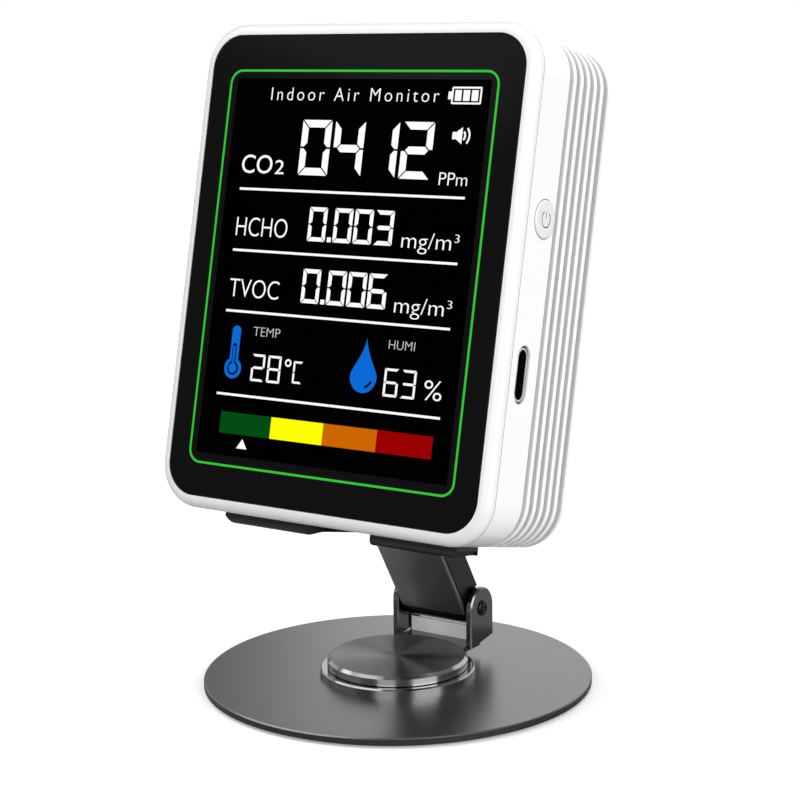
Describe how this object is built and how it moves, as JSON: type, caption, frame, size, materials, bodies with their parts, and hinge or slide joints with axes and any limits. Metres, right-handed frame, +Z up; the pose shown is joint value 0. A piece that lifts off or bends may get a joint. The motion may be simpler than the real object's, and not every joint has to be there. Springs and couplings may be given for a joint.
{
  "type": "air quality monitor",
  "caption": "Desk air quality monitor: a white, ribbed, rounded box with a black glass front, leaning in the hooked cradle of a folding arm on a round turning metal base.",
  "frame": {"origin": "centre of the base's underside, on the surface it stands on, in line with the turntable's axis", "axes": "+Z up, -Y towards the viewer of the screen, +X to that viewer's right; hinge axes run along X"},
  "size_m": [0.071, 0.071, 0.1188],
  "materials": {
    "black_glass": "flat polished glass printed black behind",
    "display_black": "dark liquid crystal panel",
    "white_gloss": "moulded, high gloss",
    "white_satin": "moulded, fine satin",
    "button_plastic": "moulded, soft gloss",
    "base_steel": "satin, dark nickel tone",
    "gunmetal": "polished dark plating",
    "spun_metal": "spun in fine circles, dark plating",
    "pin_steel": "polished dark plating",
    "rubber_black": "matte sheet",
    "silicone_grey": "matte sheet",
    "washer_plastic": "smooth moulded nylon",
    "circuit_green": "solder-masked glass-fibre board",
    "chip_black": "moulded epoxy",
    "battery_wrap": "foil pouch",
    "foam_grey": "closed-cell foam",
    "tape_black": "double-sided tape",
    "sensor_metal": "pressed can",
    "sensor_white": "moulded",
    "backlight_white": "diffuser and frame",
    "ribbon_amber": "polyimide film",
    "mesh_black": "woven dust mesh",
    "port_steel": "drawn shell, bright",
    "screw_steel": "zinc plated"
  },
  "bodies": {
    "base": {"base_plate": "base_steel", "base_pad": "rubber_black", "bearing_ring": "gunmetal", "pivot_rivet": "pin_steel", "pivot_washer": "washer_plastic"},
    "turntable": {"turntable_hub": "gunmetal", "hub_rivets": "pin_steel", "hinge_bracket": "gunmetal", "turntable_disc": "spun_metal", "lower_pin": "pin_steel", "lower_washers": "washer_plastic"},
    "arm": {"arm_channel": "gunmetal", "arm_front_plate": "gunmetal", "upper_pin": "pin_steel", "upper_washers": "washer_plastic"},
    "cradle": {"cradle_plate": "gunmetal", "cradle_pad": "silicone_grey", "hook_pads": "silicone_grey"},
    "monitor": {"front_glass": "black_glass", "glass_tape": "tape_black", "front_bezel": "white_gloss", "main_housing": "white_gloss", "rear_cover": "white_satin", "vent_mesh": "mesh_black", "housing_screws": "screw_steel", "display_panel": "display_black", "display_backlight": "backlight_white", "display_ribbon": "ribbon_amber", "main_board": "circuit_green", "board_screws": "screw_steel", "board_chips": "chip_black", "battery_foam": "foam_grey", "battery": "battery_wrap", "co2_sensor": "sensor_metal", "formaldehyde_sensor": "sensor_white", "voc_sensor": "sensor_metal", "climate_sensor": "sensor_white", "buzzer": "chip_black", "usb_shell": "port_steel", "usb_tongue": "chip_black", "side_switch": "chip_black"},
    "button": {"side_button": "button_plastic"}
  },
  "joints": [
    {"name": "base_turn", "type": "hinge", "parent": "base", "child": "turntable", "pos_m": [0, 0, 0.0018], "axis": [0, 0, 1], "continuous": true},
    {"name": "arm_hinge", "type": "hinge", "parent": "turntable", "child": "arm", "pos_m": [0, 0.0154, 0.0112], "axis": [1, 0, 0], "range_deg": [-60, 20]},
    {"name": "tilt_hinge", "type": "hinge", "parent": "arm", "child": "cradle", "pos_m": [0, 0.00485, 0.02842], "axis": [1, 0, 0], "range_deg": [-35, 25]},
    {"name": "monitor_lift", "type": "slide", "parent": "cradle", "child": "monitor", "axis": [0, 0.225, 0.9744], "range_m": [0, 0.06]},
    {"name": "button_press", "type": "slide", "parent": "monitor", "child": "button", "axis": [-1, 0, 0], "range_m": [0, 0.00045], "stiffness_N_per_m": 1500, "springref_m": -0.0003}
  ]
}
